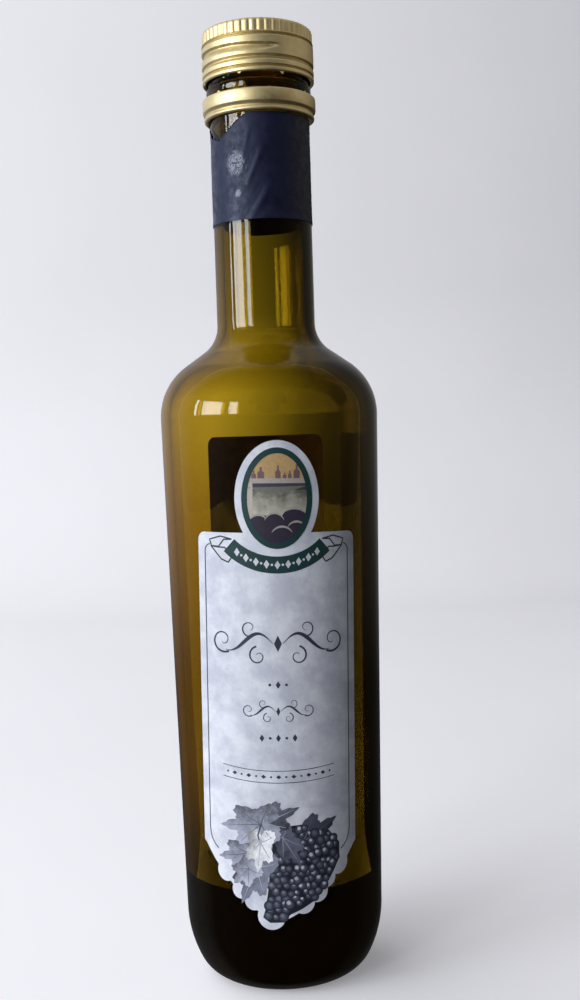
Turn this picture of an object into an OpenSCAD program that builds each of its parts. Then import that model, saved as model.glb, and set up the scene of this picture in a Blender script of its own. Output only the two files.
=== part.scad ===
// A tall round glass bottle of dark vinegar, nearly empty: tapered body, wide shoulder, long neck,
// metal screw cap above its broken tamper ring, torn neck sleeve, and a paper label front and back.
// The origin is the middle of the base, +Z is up and the front label faces -Y.

/* [Body] */
// Greatest outside diameter, where the shoulder begins
body_d = 67; // [57:1:85]
// How much narrower the body is at the top of the heel
taper = 5.8; // [0:0.2:8]
// Thickness of the glass wall
wall_t = 2.8; // [1.8:0.1:4]
// Thickness of the glass in the middle of the base
base_t = 4.5; // [3:0.5:8]
// Height of the hollow under the base
punt_h = 3.5; // [1:0.5:3.5]
// Width of the flat ring that the bottle stands on
foot_w = 3; // [1.5:0.5:5]
// Radius of the small curve at the foot
heel_foot_r = 10; // [6:0.5:12]
// Radius of the long curve from the foot into the wall
heel_side_r = 34; // [22:1:40]
// Angle that the long heel curve turns through
heel_side_angle = 27; // [15:1:35]

/* [Shoulder and neck] */
// Height at which the shoulder begins to turn in
shoulder_z = 173; // [140:1:200]
// Outside radius of the shoulder's upper curve
shoulder_r = 19.2; // [12:0.2:21]
// Angle from upright at which the two shoulder curves meet
shoulder_angle = 55; // [45:1:65]
// Outside diameter of the neck
neck_d = 30.2; // [25:0.2:37]
// Outside radius of the hollow curve at the root of the neck
neck_root_r = 10.2; // [6:0.2:14]
// Height of the glass, up to its lip
glass_h = 288; // [262:1:350]

/* [Finish] */
// How far the finish stands out from the neck
finish_out = 0.3; // [0.1:0.1:0.5]
// Height over which the neck widens into the finish
finish_slope_h = 1.2; // [0.6:0.2:2]
// How far the bead above the tamper ring stands out from the finish
bead_out = 0.6; // [0.4:0.1:0.9]
// Height of that bead
bead_h = 3.4; // [2:0.2:4]
// Height over which the finish runs into the bead
bead_slope_h = 0.6; // [0.3:0.1:0.8]
// Radius of the rounded lip
lip_r = 1; // [0.5:0.1:1.3]

/* [Vinegar] */
// Height of the vinegar's surface above the table
vinegar_z = 33; // [20:1:150]
// Clearance between the vinegar and the glass
vinegar_gap = 0.1; // [0.05:0.05:0.2]

/* [Screw cap] */
// Clearance between the finish and the inside of the cap
cap_gap = 1; // [0.6:0.1:1.6]
// Height of the cap
cap_h = 15.5; // [14:0.5:19]
// Thickness of the cap's side
cap_t = 0.7; // [0.6:0.05:0.8]
// Thickness of the cap's top with the liner under it
cap_top_t = 1.4; // [0.8:0.1:2]
// Radius of the cap's rounded top edge
cap_round_r = 0.9; // [0.5:0.1:1.2]
// Height of the fluted band at the top
flute_band_h = 4.2; // [3:0.2:5]
// How far the fluted band stands in from the cap's side
flute_band_in = 0.25; // [0.1:0.05:0.3]
// Number of flutes
flute_count = 48; // [36:1:60]
// Radius of each flute's groove
flute_r = 0.7; // [0.5:0.05:0.8]
// Depth of each flute
flute_depth = 0.3; // [0.15:0.05:0.3]
// Radius of the rolled grooves in the cap's side
groove_r = 1.1; // [0.8:0.1:1.4]
// Depth of the rolled grooves
groove_depth = 0.35; // [0.2:0.05:0.4]
// Height of the closed groove above the cap's rim
low_groove_z = 4.1; // [3.6:0.1:4.6]
// Height of the thread's groove above the cap's rim
thread_groove_z = 7.7; // [7.2:0.1:8.6]
// Angle from the front at which the thread's groove starts
thread_start = 20; // [0:5:90]
// Length of the thread's groove round the cap, in degrees
thread_turn = 230; // [120:10:300]

/* [Tamper ring] */
// Clearance between the bead and the tamper ring
ring_gap = 0.7; // [0.5:0.05:1.2]
// Height of the tamper ring
ring_h = 6.6; // [5:0.2:8]
// Gap between the cap's rim and the ring
ring_drop = 4.7; // [4:0.1:6]
// Thickness of the ring
ring_t = 0.6; // [0.4:0.05:0.8]
// Height of the ring's rolled lower lip
ring_lip_h = 2.2; // [2:0.1:2.8]
// How far that lip stands in from the ring's band
ring_lip_in = 0.3; // [0.1:0.1:0.4]
// How far the ring narrows between its lip and its band
ring_waist_in = 0.7; // [0.5:0.1:0.9]
// Clearance between the ring's lip and the sleeve
seat_gap = 0.3; // [0.2:0.05:0.35]

/* [Neck sleeve] */
// Thickness of the sleeve
sleeve_t = 0.25; // [0.15:0.05:0.3]
// Height of the sleeve
sleeve_h = 31.3; // [22:0.1:35]
// Depth of the tear below the sleeve's upper edge
tear_h = 6.4; // [3:0.2:10]
// Angle from the front at which the tear is deepest, to the left
tear_angle = 60; // [20:5:80]
// Half angle that the tear spans
tear_half = 38; // [20:2:45]

/* [Front label] */
// Thickness of both labels
label_t = 0.2; // [0.1:0.05:0.3]
// Width of the front label, measured round the glass
label_w = 50; // [42:1:60]
// Rise from the heel to the front label's lower corners
label_rise = 25.1; // [24:0.5:40]
// Drop from the shoulder to the front label's upper edge, beside the oval
label_drop = 34; // [30:1:50]
// Radius of the front label's lower corners
label_foot_r = 1; // [0.5:0.5:3]
// Radius of the front label's upper corners
label_corner_r = 2.4; // [1:0.2:5]
// Width of the oval at the top
oval_w = 24.8; // [18:0.2:30]
// Height of the oval at the top
oval_h = 33; // [26:0.5:38]
// Height of the oval's middle above the label's upper edge
oval_rise = 10; // [6:0.5:10.5]
// Lean of the front label, clockwise in degrees
label_lean = 1.5; // [0:0.1:3]

/* [Back label] */
// Width of the back label, measured round the glass
back_label_w = 44; // [30:0.5:50]
// Turn of the back label off the middle of the back, counter-clockwise from above, in degrees
back_label_turn = 3.8; // [-8:0.1:8]
// Rise from the heel to the back label's lower edge
back_label_rise = 41.1; // [20:0.1:60]
// Drop from the shoulder to the back label's upper edge
back_label_drop = 6; // [3:0.5:40]
// Radius of the back label's corners
back_label_corner_r = 3; // [1:0.5:6]

/* [Hidden] */
$fn = 96;

// Steps in each curve of an outline
arc_steps = 14;
// Steps round an oval and round a small lobe
oval_steps = 56;
lobe_steps = 28;
// A little more than a surface, for a clean cut
over = 0.5;
// Gap between two pieces that rest on each other
seat = 0.1;
// Small bevel on the edges of rolled metal
bevel = 0.3;

// Outside radii: the cap, the bead and the ring all follow the neck
body_r = body_d / 2;
base_r = body_r - taper / 2;
neck_r = neck_d / 2;
finish_r = neck_r + finish_out;
bead_r = finish_r + bead_out;
cap_r = finish_r + cap_gap + cap_t;
ring_r = bead_r + ring_gap + ring_t;
sleeve_r = neck_r + sleeve_t;

// The heel: two curves that meet where both lean by the same angle
heel_z = heel_foot_r + (heel_side_r - heel_foot_r) * sin(heel_side_angle);
foot_r = base_r - heel_side_r + (heel_side_r - heel_foot_r) * cos(heel_side_angle);
punt_edge_r = foot_r - foot_w;
punt_sphere_r = (punt_edge_r * punt_edge_r + punt_h * punt_h) / (2 * punt_h);
punt_sphere_z = punt_h - punt_sphere_r;

// The shoulder: a round curve, a straight slope and a hollow curve into the neck
slope_top_r = neck_r + neck_root_r * (1 - cos(shoulder_angle));
slope_foot_r = body_r - shoulder_r * (1 - cos(shoulder_angle));
slope_foot_z = shoulder_z + shoulder_r * sin(shoulder_angle);
slope_top_z = slope_foot_z + (slope_foot_r - slope_top_r) / tan(shoulder_angle);
neck_z = slope_top_z + neck_root_r * sin(shoulder_angle);

// Cap, ring and sleeve stack down from the lip
cap_top = glass_h + cap_top_t;
cap_z = cap_top - cap_h;
ring_top = cap_z - ring_drop;
ring_z = ring_top - ring_h;
bead_z = ring_top + seat;
sleeve_top = ring_z - seat;
sleeve_z = sleeve_top - sleeve_h;
finish_z = sleeve_top + 2 * over;

// The labels lie between the heel and the shoulder
label_z0 = heel_z + label_rise;
label_z1 = shoulder_z - label_drop;
oval_z = label_z1 + oval_rise;
back_label_z0 = heel_z + back_label_rise;
back_label_z1 = shoulder_z - back_label_drop;

// Outside radius of the straight wall at a height
function wall_r(z) = base_r + (body_r - base_r) * (z - heel_z) / (shoulder_z - heel_z);

// Points of a curve about a centre, from one angle to another
function arc(x, z, r, a0, a1) = [
    for (i = [0 : arc_steps])
        let (a = a0 + (a1 - a0) * i / arc_steps) [x + r * cos(a), z + r * sin(a)]
];

// The body's outline from the foot to the neck, moved into the glass by an inset
function body_side(inset) = concat(
    arc(foot_r, heel_foot_r, heel_foot_r - inset, -90, -heel_side_angle),
    arc(base_r - heel_side_r, heel_z, heel_side_r - inset, -heel_side_angle, 0),
    arc(body_r - shoulder_r, shoulder_z, shoulder_r - inset, 0, shoulder_angle),
    arc(neck_r + neck_root_r, neck_z, neck_root_r + inset, 180 + shoulder_angle, 180)
);

// The finish, up the outside and over the lip into the bore
function finish_outline() = let (round_r = bead_h / 4, bead_top = bead_z + bead_h) concat(
    [[neck_r, finish_z], [finish_r, finish_z + finish_slope_h], [finish_r, bead_z - bead_slope_h]],
    arc(bead_r - round_r, bead_z + round_r, round_r, -90, 0),
    arc(bead_r - round_r, bead_top - round_r, round_r, 0, 90),
    [[finish_r, bead_top + bead_slope_h]],
    arc(finish_r - lip_r, glass_h - lip_r, lip_r, 0, 90),
    arc(neck_r - wall_t + lip_r, glass_h - lip_r, lip_r, 90, 180)
);

// Floor of the bottle: a shallow dome over the hollow underneath
function floor_points(top) = [
    for (i = [0 : arc_steps])
        let (x = punt_edge_r * i / arc_steps)
            [x, punt_sphere_z + top + sqrt(punt_sphere_r * punt_sphere_r - x * x)]
];

// The hollow inside the glass, from the middle of the floor to the bore
function cavity_side(inset) = concat(
    floor_points(base_t + inset - wall_t),
    body_side(inset)
);

// Reversed copy of a list
function reversed(list) = [for (i = [len(list) - 1 : -1 : 0]) list[i]];

// A point of a label, from its place on the flat paper to its place across the front
function across(p) = let (r = wall_r(p[1])) [r * sin(p[0] / r * 180 / PI), p[1]];

// A point turned by the front label's lean about the label's middle
function leaned(p) = let (z = (label_z0 + label_z1) / 2)
    [p[0] * cos(label_lean) + (p[1] - z) * sin(label_lean),
     z + (p[1] - z) * cos(label_lean) - p[0] * sin(label_lean)];

// Flat outlines, in millimetres on the paper
function ellipse_points(x, z, rx, rz, steps) = [
    for (i = [0 : steps - 1])
        let (a = 360 * i / steps) [x + rx * cos(a), z + rz * sin(a)]
];

function rounded_points(half_w, z0, z1, r0, r1) = concat(
    arc(half_w - r1, z1 - r1, r1, 0, 90),
    arc(r1 - half_w, z1 - r1, r1, 90, 180),
    arc(r0 - half_w, z0 + r0, r0, 180, 270),
    arc(half_w - r0, z0 + r0, r0, 270, 360)
);

// The bunch of fruit that the label is cut round, below its lower corners: the outline's own
// corners from left to right, measured from the label's middle and its lower corners
bunch = [
    [-20.6, -4.5], [-14.4, -10.7], [-12, -14.1], [-7.6, -17.3], [-4, -19.5],
    [1, -21.1], [6.2, -18.3], [10.8, -15.1], [14.8, -9.7], [19, -6.9]
];
// Rounded lobes on the bunch: across, down and radius
lobes = [
    [-2.2, -19.3, 4.2], [7.2, -15.6, 3.3], [11.4, -12.6, 3.2], [14.2, -8.8, 3],
    [18, -4.8, 3.6], [-16.4, -7.2, 3.2], [-11.6, -12.2, 2.8], [-7.6, -15.2, 2.8]
];

module glass_bottle() {
    color([0.36, 0.30, 0.05, 0.6])
    rotate_extrude()
    polygon(concat(
        floor_points(0),
        [[punt_edge_r, 0]],
        body_side(0),
        finish_outline(),
        reversed(cavity_side(wall_t))
    ));
}

module vinegar() {
    color([0.07, 0.03, 0.02])
    intersection() {
        rotate_extrude() polygon(concat(cavity_side(wall_t + vinegar_gap), [[0, neck_z]]));
        cylinder(h = vinegar_z, r = body_r);
    }
}

// Side and top of the cap: fluted band, bead, waist and a rim with a small waist above it
module cap_shell() {
    band_z = cap_top - flute_band_h;
    band_r = cap_r - flute_band_in;
    rim_h = 1;
    rim_waist_z = cap_z + 1.6;
    rim_waist_top = cap_z + 2.4;
    rotate_extrude()
    polygon(concat(
        [[cap_r - cap_t, cap_z], [cap_r - bevel / 3, cap_z], [cap_r, cap_z + bevel], [cap_r, cap_z + rim_h],
         [band_r, rim_waist_z], [cap_r, rim_waist_top], [cap_r, band_z - bevel - groove_depth],
         [cap_r - bevel, band_z - bevel], [band_r, band_z]],
        arc(band_r - cap_round_r, cap_top - cap_round_r, cap_round_r, 0, 90),
        [[0, cap_top], [0, glass_h], [cap_r - cap_t, glass_h]]
    ));
}

module flutes() {
    for (i = [0 : flute_count - 1])
        rotate([0, 0, 360 * i / flute_count])
            translate([cap_r - flute_band_in + flute_r - flute_depth, 0, cap_top - flute_band_h])
                cylinder(h = flute_band_h + over, r = flute_r, $fn = 16);
}

// A rolled groove round the cap, from a start angle through a turn
module rolled_groove(z, start, turn) {
    path_r = cap_r + groove_r - groove_depth;
    rotate([0, 0, start]) rotate_extrude(angle = turn)
        translate([path_r, z]) circle(r = groove_r, $fn = 32);
}

module screw_cap() {
    color([0.80, 0.72, 0.48])
    difference() {
        cap_shell();
        flutes();
        rolled_groove(cap_z + low_groove_z, 0, 360);
        rolled_groove(cap_z + thread_groove_z, thread_start - 90 - thread_turn, thread_turn);
    }
}

// Broken ring: a plain band over a waist and a rolled lip, which turns in under the finish
module tamper_ring() {
    seat_r = sleeve_r + seat_gap;
    turned_r = ring_r - ring_lip_in;
    waist_r = ring_r - ring_waist_in;
    lip_top = ring_z + ring_lip_h;
    color([0.80, 0.72, 0.48])
    rotate_extrude()
    polygon([
        [seat_r, ring_z], [waist_r, ring_z], [turned_r, ring_z + over],
        [turned_r, lip_top - 2 * over], [waist_r, lip_top - over], [waist_r + seat, lip_top],
        [ring_r, lip_top + bevel + seat], [ring_r, ring_top - bevel - seat], [ring_r - bevel, ring_top],
        [ring_r - ring_t, ring_top], [ring_r - ring_t, lip_top + 2 * seat],
        [waist_r - ring_t, lip_top - 2 * bevel],
        [waist_r - ring_t, ring_z + ring_t], [seat_r, ring_z + ring_t]
    ]);
}

// Wedge that takes the torn corner out of the sleeve: left of the front, open at the top
module tear() {
    half_w = neck_r * tan(tear_half);
    rotate([0, 0, -tear_angle]) rotate([90, 0, 0])
        linear_extrude(height = body_r)
            polygon([[-half_w, sleeve_top + over], [-half_w / 2, sleeve_top - tear_h / 2],
                     [0, sleeve_top - tear_h], [half_w, sleeve_top + over]]);
}

module neck_sleeve() {
    color([0.07, 0.07, 0.12])
    difference() {
        translate([0, 0, sleeve_z]) cylinder(h = sleeve_h, r = sleeve_r);
        translate([0, 0, sleeve_z - over]) cylinder(h = sleeve_h + 2 * over, r = neck_r);
        tear();
    }
}

// Thin skin on the straight wall, from one height to another
module wall_skin(z0, z1) {
    rotate_extrude()
    polygon([
        [wall_r(z0), z0], [wall_r(z0) + label_t, z0],
        [wall_r(z1) + label_t, z1], [wall_r(z1), z1]
    ]);
}

// A flat outline pushed through the front of the bottle
module across_front(points) {
    rotate([90, 0, 0]) linear_extrude(height = body_r + over)
        polygon([for (p = points) across(p)]);
}

module front_label() {
    half_w = label_w / 2;
    field = rounded_points(half_w, label_z0, label_z1, label_foot_r, label_corner_r);
    oval = ellipse_points(0, oval_z, oval_w / 2, oval_h / 2, oval_steps);
    corner_z = 2 * over;
    skirt = concat([[-half_w, corner_z]], bunch, [[half_w, corner_z]]);
    color([0.84, 0.85, 0.91])
    intersection() {
        wall_skin(heel_z, shoulder_z);
        union() {
            across_front([for (p = field) leaned(p)]);
            across_front([for (p = oval) leaned(p)]);
            across_front([for (p = skirt) leaned([p[0], label_z0 + p[1]])]);
            for (l = lobes) {
                lobe = ellipse_points(l[0], label_z0 + l[1], l[2], l[2], lobe_steps);
                across_front([for (p = lobe) leaned(p)]);
            }
        }
    }
}

module back_label() {
    color([0.75, 0.75, 0.70])
    intersection() {
        wall_skin(back_label_z0 - over, back_label_z1 + over);
        rotate([0, 0, 180 + back_label_turn])
            across_front(rounded_points(back_label_w / 2, back_label_z0, back_label_z1,
                back_label_corner_r, back_label_corner_r));
    }
}

glass_bottle();
vinegar();
screw_cap();
tamper_ring();
neck_sleeve();
front_label();
back_label();
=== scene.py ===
"""Looks of a nearly empty vinegar bottle: olive glass, dark vinegar, pale gold screw cap above its
broken tamper ring, torn dark sleeve on the neck, and a printed paper label front and back."""

import math
import random
from math import cos, exp, hypot, pi, radians, sin, sqrt, tan

import bmesh
import bpy
from mathutils import Matrix, Vector, noise
from mathutils.geometry import tessellate_polygon


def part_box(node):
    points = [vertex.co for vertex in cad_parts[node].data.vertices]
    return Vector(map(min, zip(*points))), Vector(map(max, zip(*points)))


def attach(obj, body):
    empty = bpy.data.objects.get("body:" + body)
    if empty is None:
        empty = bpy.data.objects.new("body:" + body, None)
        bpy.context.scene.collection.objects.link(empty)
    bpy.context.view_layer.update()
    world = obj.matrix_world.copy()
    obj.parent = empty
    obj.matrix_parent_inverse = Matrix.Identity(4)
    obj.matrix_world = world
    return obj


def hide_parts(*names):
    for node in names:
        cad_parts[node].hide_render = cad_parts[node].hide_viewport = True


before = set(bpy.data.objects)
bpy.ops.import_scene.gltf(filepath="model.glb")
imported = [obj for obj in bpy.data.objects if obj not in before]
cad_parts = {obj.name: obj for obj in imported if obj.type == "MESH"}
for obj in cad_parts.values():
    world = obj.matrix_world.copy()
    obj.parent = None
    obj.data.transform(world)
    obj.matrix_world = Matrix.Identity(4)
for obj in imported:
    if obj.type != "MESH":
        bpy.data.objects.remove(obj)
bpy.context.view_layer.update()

# ---------------- sizes, in millimetres
MM = 0.001


def low(node, axis):
    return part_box(node)[0][axis] / MM


def high(node, axis):
    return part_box(node)[1][axis] / MM


# Read from the frame
BODY_R = high("glass_bottle", 0)
GLASS_TOP = high("glass_bottle", 2)
VINEGAR_Z = high("vinegar", 2)
CAP_R = high("screw_cap", 0)
CAP_Z = low("screw_cap", 2)
CAP_TOP = high("screw_cap", 2)
RING_R = high("tamper_ring", 0)
RING_Z = low("tamper_ring", 2)
RING_TOP = high("tamper_ring", 2)
SLEEVE_Z = low("neck_sleeve", 2)
SLEEVE_TOP = high("neck_sleeve", 2)

# The glass, as in the construction
TAPER = 5.8
WALL_T = 2.8
BASE_T = 4.5
PUNT_H = 3.5
FOOT_W = 3.0
HEEL_FOOT_R = 10.0
HEEL_SIDE_R = 34.0
HEEL_ANGLE = radians(27)
SHOULDER_Z = 173.0
SHOULDER_R = 19.2
SHOULDER_ANGLE = radians(55)
NECK_R = 15.1
NECK_ROOT_R = 10.2
FINISH_OUT = 0.3
BEAD_OUT = 0.6
BEAD_H = 3.4
LIP_R = 1.0
# Heights over which the finish widens and runs into the bead, how far the finish starts over the
# sleeve, and the gap under the bead
FINISH_SLOPE_H = 1.2
BEAD_SLOPE_H = 0.6
FINISH_OVER = 1.0
SEAT = 0.1

BASE_R = BODY_R - TAPER / 2
FINISH_R = NECK_R + FINISH_OUT
BEAD_R = FINISH_R + BEAD_OUT
HEEL_Z = HEEL_FOOT_R + (HEEL_SIDE_R - HEEL_FOOT_R) * sin(HEEL_ANGLE)
FOOT_R = BASE_R - HEEL_SIDE_R + (HEEL_SIDE_R - HEEL_FOOT_R) * cos(HEEL_ANGLE)
PUNT_EDGE_R = FOOT_R - FOOT_W
PUNT_R = (PUNT_EDGE_R ** 2 + PUNT_H ** 2) / (2 * PUNT_H)
SLOPE_TOP_R = NECK_R + NECK_ROOT_R * (1 - cos(SHOULDER_ANGLE))
SLOPE_FOOT_R = BODY_R - SHOULDER_R * (1 - cos(SHOULDER_ANGLE))
SLOPE_TOP_Z = (SHOULDER_Z + SHOULDER_R * sin(SHOULDER_ANGLE)
               + (SLOPE_FOOT_R - SLOPE_TOP_R) / tan(SHOULDER_ANGLE))
NECK_Z = SLOPE_TOP_Z + NECK_ROOT_R * sin(SHOULDER_ANGLE)

# The labels, as in the construction
LABEL_W = 50.0
LABEL_Z0 = HEEL_Z + 25.1
LABEL_Z1 = SHOULDER_Z - 34.0
LABEL_CORNER_R = 2.4
LABEL_FOOT_R = 1.0
LABEL_LEAN = radians(1.5)
OVAL_W = 24.8
OVAL_H = 33.0
OVAL_Z = LABEL_Z1 + 10.0
BACK_W = 44.0
BACK_TURN = radians(3.8)
BACK_Z0 = HEEL_Z + 41.1
BACK_Z1 = SHOULDER_Z - 6.0
BACK_CORNER_R = 3.0
BUNCH = [(-20.6, -4.5), (-14.4, -10.7), (-12, -14.1), (-7.6, -17.3), (-4, -19.5),
         (1, -21.1), (6.2, -18.3), (10.8, -15.1), (14.8, -9.7), (19, -6.9)]
LOBES = [(-2.2, -19.3, 4.2), (7.2, -15.6, 3.3), (11.4, -12.6, 3.2), (14.2, -8.8, 3),
         (18, -4.8, 3.6), (-16.4, -7.2, 3.2), (-11.6, -12.2, 2.8), (-7.6, -15.2, 2.8)]

# How far a piece that touches the glass is set into it, so that no air shows between them
SET_IN = 0.06
# Thin paper, and the height of one printed layer over the one below it: together they stay
# inside the constructed label's thickness
PAPER_T = 0.05
LAYER = 0.012
# Longest step across the front at which a flat shape is bent round the glass
BEND_STEP = 1.0


# ---------------- small helpers
def smooth(low_edge, high_edge, value):
    t = min(1.0, max(0.0, (value - low_edge) / (high_edge - low_edge)))
    return t * t * (3 - 2 * t)


def mix(a, b, t):
    return a + (b - a) * t


def arc(x, z, r, a0, a1, steps=18):
    angles = [mix(a0, a1, i / steps) for i in range(steps + 1)]
    return [(x + r * cos(a), z + r * sin(a)) for a in angles]


def wall_r(z):
    return BASE_R + (BODY_R - BASE_R) * (z - HEEL_Z) / (SHOULDER_Z - HEEL_Z)


def round_axis(r, angle, z):
    """A place in metres from its radius, its angle from the front and its height."""
    return r * sin(angle) * MM, -r * cos(angle) * MM, z * MM


def body_side(inset):
    half_turn = pi
    return (arc(FOOT_R, HEEL_FOOT_R, HEEL_FOOT_R - inset, -half_turn / 2, -HEEL_ANGLE)
            + arc(BASE_R - HEEL_SIDE_R, HEEL_Z, HEEL_SIDE_R - inset, -HEEL_ANGLE, 0)
            + arc(BODY_R - SHOULDER_R, SHOULDER_Z, SHOULDER_R - inset, 0, SHOULDER_ANGLE)
            + arc(NECK_R + NECK_ROOT_R, NECK_Z, NECK_ROOT_R + inset,
                  half_turn + SHOULDER_ANGLE, half_turn))


def floor_side(rise, steps=12):
    radii = [PUNT_EDGE_R * i / steps for i in range(steps + 1)]
    return [(x, PUNT_H - PUNT_R + rise + sqrt(PUNT_R ** 2 - x * x)) for x in radii]


def added(name, data):
    """A new object in the scene that shows the data."""
    thing = bpy.data.objects.new(name, data)
    bpy.context.scene.collection.objects.link(thing)
    return thing


def new_mesh(name, verts, faces):
    mesh = bpy.data.meshes.new(name)
    mesh.from_pydata(verts, [], faces)
    return mesh


def link(name, mesh, materials, sharp=35):
    """A finished piece from a mesh in metres: normals out, smooth but for its sharp edges."""
    bm = bmesh.new()
    bm.from_mesh(mesh)
    bmesh.ops.recalc_face_normals(bm, faces=bm.faces)
    bm.to_mesh(mesh)
    bm.free()
    for material in materials:
        mesh.materials.append(material)
    mesh.shade_smooth()
    mesh.set_sharp_from_angle(angle=radians(sharp))
    return added(name, mesh)


def swept(name, rows, materials, turns, loop=False, sharp=35):
    """A closed piece round the axis. Each row is (radius, height) or a function of the angle that
    gives them; a row on the axis closes to one point. With loop the last row joins the first."""
    verts, rings = [], []
    for row in rows:
        if not callable(row) and row[0] < 1e-6:
            rings.append([len(verts)] * turns)
            verts.append((0, 0, row[1] * MM))
            continue
        rings.append(range(len(verts), len(verts) + turns))
        for i in range(turns):
            angle = 2 * pi * i / turns
            r, z = row(angle) if callable(row) else row
            verts.append(round_axis(r, angle, z))
    faces = []
    pairs = list(zip(rings, rings[1:] + rings[:1])) if loop else list(zip(rings, rings[1:]))
    for lower, upper in pairs:
        for i in range(turns):
            j = (i + 1) % turns
            corners = [lower[i], lower[j], upper[j], upper[i]]
            corners = [c for k, c in enumerate(corners) if c not in corners[:k]]
            if len(corners) > 2:
                faces.append(corners)
    return link(name, new_mesh(name, verts, faces), materials, sharp)


# ---------------- materials
class Nodes:
    """A node tree with the few helpers that every material here and the world use."""

    def __init__(self, tree):
        self.tree = tree
        tree.nodes.clear()

    def new(self, kind, **inputs):
        """A new node, with a source or a value for each input named."""
        node = self.tree.nodes.new("ShaderNode" + kind)
        self.fill(node, inputs)
        return node

    def fill(self, node, inputs):
        for name, value in inputs.items():
            self.feed(value, node.inputs[name.replace("_", " ")])

    def feed(self, value, socket):
        """Links a source to an input, or sets the input to a value."""
        if isinstance(value, bpy.types.NodeSocket):
            self.tree.links.new(value, socket)
        elif socket.type == "RGBA":
            socket.default_value = (*value[:3], 1)
        else:
            socket.default_value = value

    def ramp(self, source, *stops):
        """Colours or greys against a factor; each stop is (position, value), in rising order."""
        node = self.new("ValToRGB", Fac=source)
        elements = node.color_ramp.elements
        elements.remove(elements[-1])
        for i, (position, value) in enumerate(stops):
            element = elements[0] if i == 0 else elements.new(position)
            element.position = position
            element.color = (*(value if isinstance(value, tuple) else (value,) * 3), 1)
        return node.outputs["Color"]

    def blend(self, factor, a, b, mode="MIX"):
        node = self.new("Mix")
        node.data_type = "RGBA"
        node.blend_type = mode
        for value, number in ((factor, 0), (a, 6), (b, 7)):
            self.feed(value, node.inputs[number])
        return node.outputs[2]

    def math(self, operation, a, b=0.0):
        node = self.new("Math")
        node.operation = operation
        self.feed(a, node.inputs[0])
        self.feed(b, node.inputs[1])
        return node.outputs[0]

    def split(self, source):
        """The three parts of a vector."""
        return self.new("SeparateXYZ", Vector=source).outputs

    def length(self, across, up):
        """How far a point on a plane lies from the plane's middle."""
        squares = [self.math("MULTIPLY", part, part) for part in (across, up)]
        return self.math("SQRT", self.math("ADD", *squares))


class Material(Nodes):
    """A material's node tree round one main shader."""

    def __init__(self, name):
        self.material = bpy.data.materials.new(name)
        self.material.use_nodes = True
        super().__init__(self.material.node_tree)
        self.output = self.new("OutputMaterial")
        self.shader = self.new("BsdfPrincipled")
        self.feed(self.shader.outputs["BSDF"], self.output.inputs["Surface"])
        self.place = self.new("TexCoord").outputs["Object"]

    def set(self, **inputs):
        self.fill(self.shader, inputs)

    def noise(self, scale, detail=3.0, stretch=None, roughness=0.5):
        place = self.place
        if stretch:
            place = self.new("Mapping", Vector=place, Scale=stretch).outputs["Vector"]
        node = self.new("TexNoise", Vector=place, Scale=scale, Detail=detail, Roughness=roughness)
        return node.outputs["Fac"]

    def near(self, radius, degrees, z, reach):
        """1 at a place on the neck, given by radius, angle from the front and height, down to 0."""
        node = self.new("VectorMath")
        node.operation = "DISTANCE"
        self.feed(self.place, node.inputs[0])
        self.feed(round_axis(radius, radians(degrees), z), node.inputs[1])
        share = self.math("MULTIPLY", node.outputs["Value"], 1 / (reach * MM))
        ragged = self.math("ADD", share, self.math("MULTIPLY", self.noise(700, 3), 0.5))
        return self.ramp(ragged, (0.75, 1.0), (1.15, 0.0))

    def attribute(self, name, output):
        node = self.new("Attribute")
        node.attribute_name = name
        return node.outputs[output]

    def colour(self, source):
        self.set(Base_Color=source)

    def roughness(self, source):
        self.set(Roughness=source)

    def bump(self, height, distance, strength=1.0):
        node = self.new("Bump", Strength=strength, Distance=distance * MM, Height=height)
        self.set(Normal=node.outputs["Normal"])


def glass_material():
    """Olive glass: clear at the surface, coloured through its thickness, slightly wavy."""
    n = Material("olive_glass")
    n.set(Base_Color=(1, 1, 1, 1), Transmission_Weight=1.0, IOR=1.5, Roughness=0.0)
    n.bump(n.noise(42, 2, stretch=(1, 1, 0.35)), 0.12, 0.5)
    volume = n.new("VolumeAbsorption", Color=(0.839, 0.745, 0.019), Density=800)
    n.feed(volume.outputs["Volume"], n.output.inputs["Volume"])
    return n.material


def vinegar_material(name, specular):
    """Nearly black vinegar with a little brown in it."""
    n = Material(name)
    n.set(IOR=1.35, Specular_IOR_Level=specular, Roughness=0.05)
    n.colour(n.ramp(n.noise(30, 2), (0.3, (0.0045, 0.0022, 0.0018)), (0.8, (0.012, 0.0058, 0.0036))))
    return n.material


def gold_material():
    """Satin pale gold lacquer on aluminium."""
    n = Material("pale_gold_metal")
    n.set(Metallic=1.0)
    n.colour(n.ramp(n.noise(260, 4), (0.3, (0.66, 0.53, 0.26)), (0.7, (0.76, 0.64, 0.36))))
    n.roughness(n.ramp(n.noise(900, 3), (0.3, 0.38), (0.7, 0.5)))
    n.bump(n.noise(2600, 2, stretch=(1, 1, 0.3)), 0.012, 0.6)
    return n.material


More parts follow.
